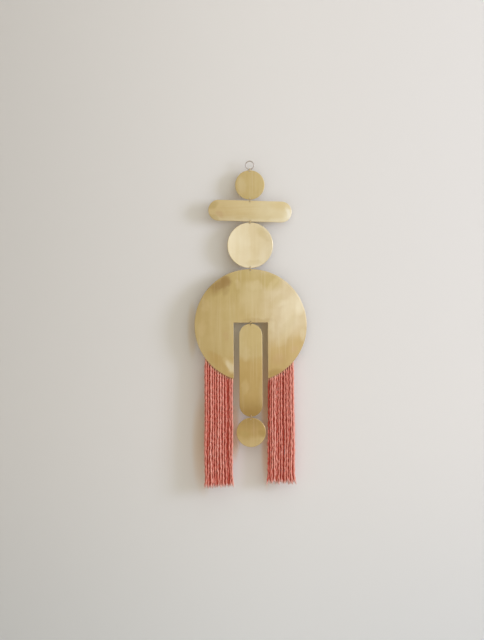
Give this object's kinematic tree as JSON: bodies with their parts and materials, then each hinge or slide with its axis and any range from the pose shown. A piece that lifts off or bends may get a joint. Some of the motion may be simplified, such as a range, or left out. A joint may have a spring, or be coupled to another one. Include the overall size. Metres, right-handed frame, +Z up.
{
  "type": "brass wall sculpture",
  "caption": "Flat brass discs and bars linked one below the other by jump rings, with a yarn fringe on each side, hung by a wire ring.",
  "frame": {"origin": "the inner top of the hanging ring, where it rests on what it hangs by", "axes": "+Z up, the front faces of the plates look along -Y, +X to the right as seen from the front"},
  "size_m": [0.1524, 0.0108, 0.4443],
  "materials": {
    "brass": "brushed, soft satin, lightly tarnished",
    "ring_wire": "dull silver-grey wire",
    "yarn": "matt coral wool yarn, two strands twisted, cut ends a little frayed"
  },
  "bodies": {
    "root": {"hanging_ring": "ring_wire", "top_disc": "brass", "cross_bar": "brass", "middle_disc": "brass", "large_disc": "brass", "pendant_bar": "brass", "bottom_disc": "brass", "ring_link": "brass", "top_disc_link": "brass", "cross_bar_link": "brass", "middle_disc_link": "brass", "pendant_link": "brass", "bottom_disc_link": "brass", "left_yarn_01": "yarn", "left_yarn_02": "yarn", "left_yarn_03": "yarn", "left_yarn_04": "yarn", "left_yarn_05": "yarn", "left_yarn_06": "yarn", "left_yarn_07": "yarn", "left_yarn_08": "yarn", "left_yarn_09": "yarn", "left_yarn_10": "yarn", "left_yarn_11": "yarn", "left_yarn_12": "yarn", "right_yarn_01": "yarn", "right_yarn_02": "yarn", "right_yarn_03": "yarn", "right_yarn_04": "yarn", "right_yarn_05": "yarn", "right_yarn_06": "yarn", "right_yarn_07": "yarn", "right_yarn_08": "yarn", "right_yarn_09": "yarn", "right_yarn_10": "yarn", "right_yarn_11": "yarn", "right_yarn_12": "yarn"}
  },
  "joints": []
}
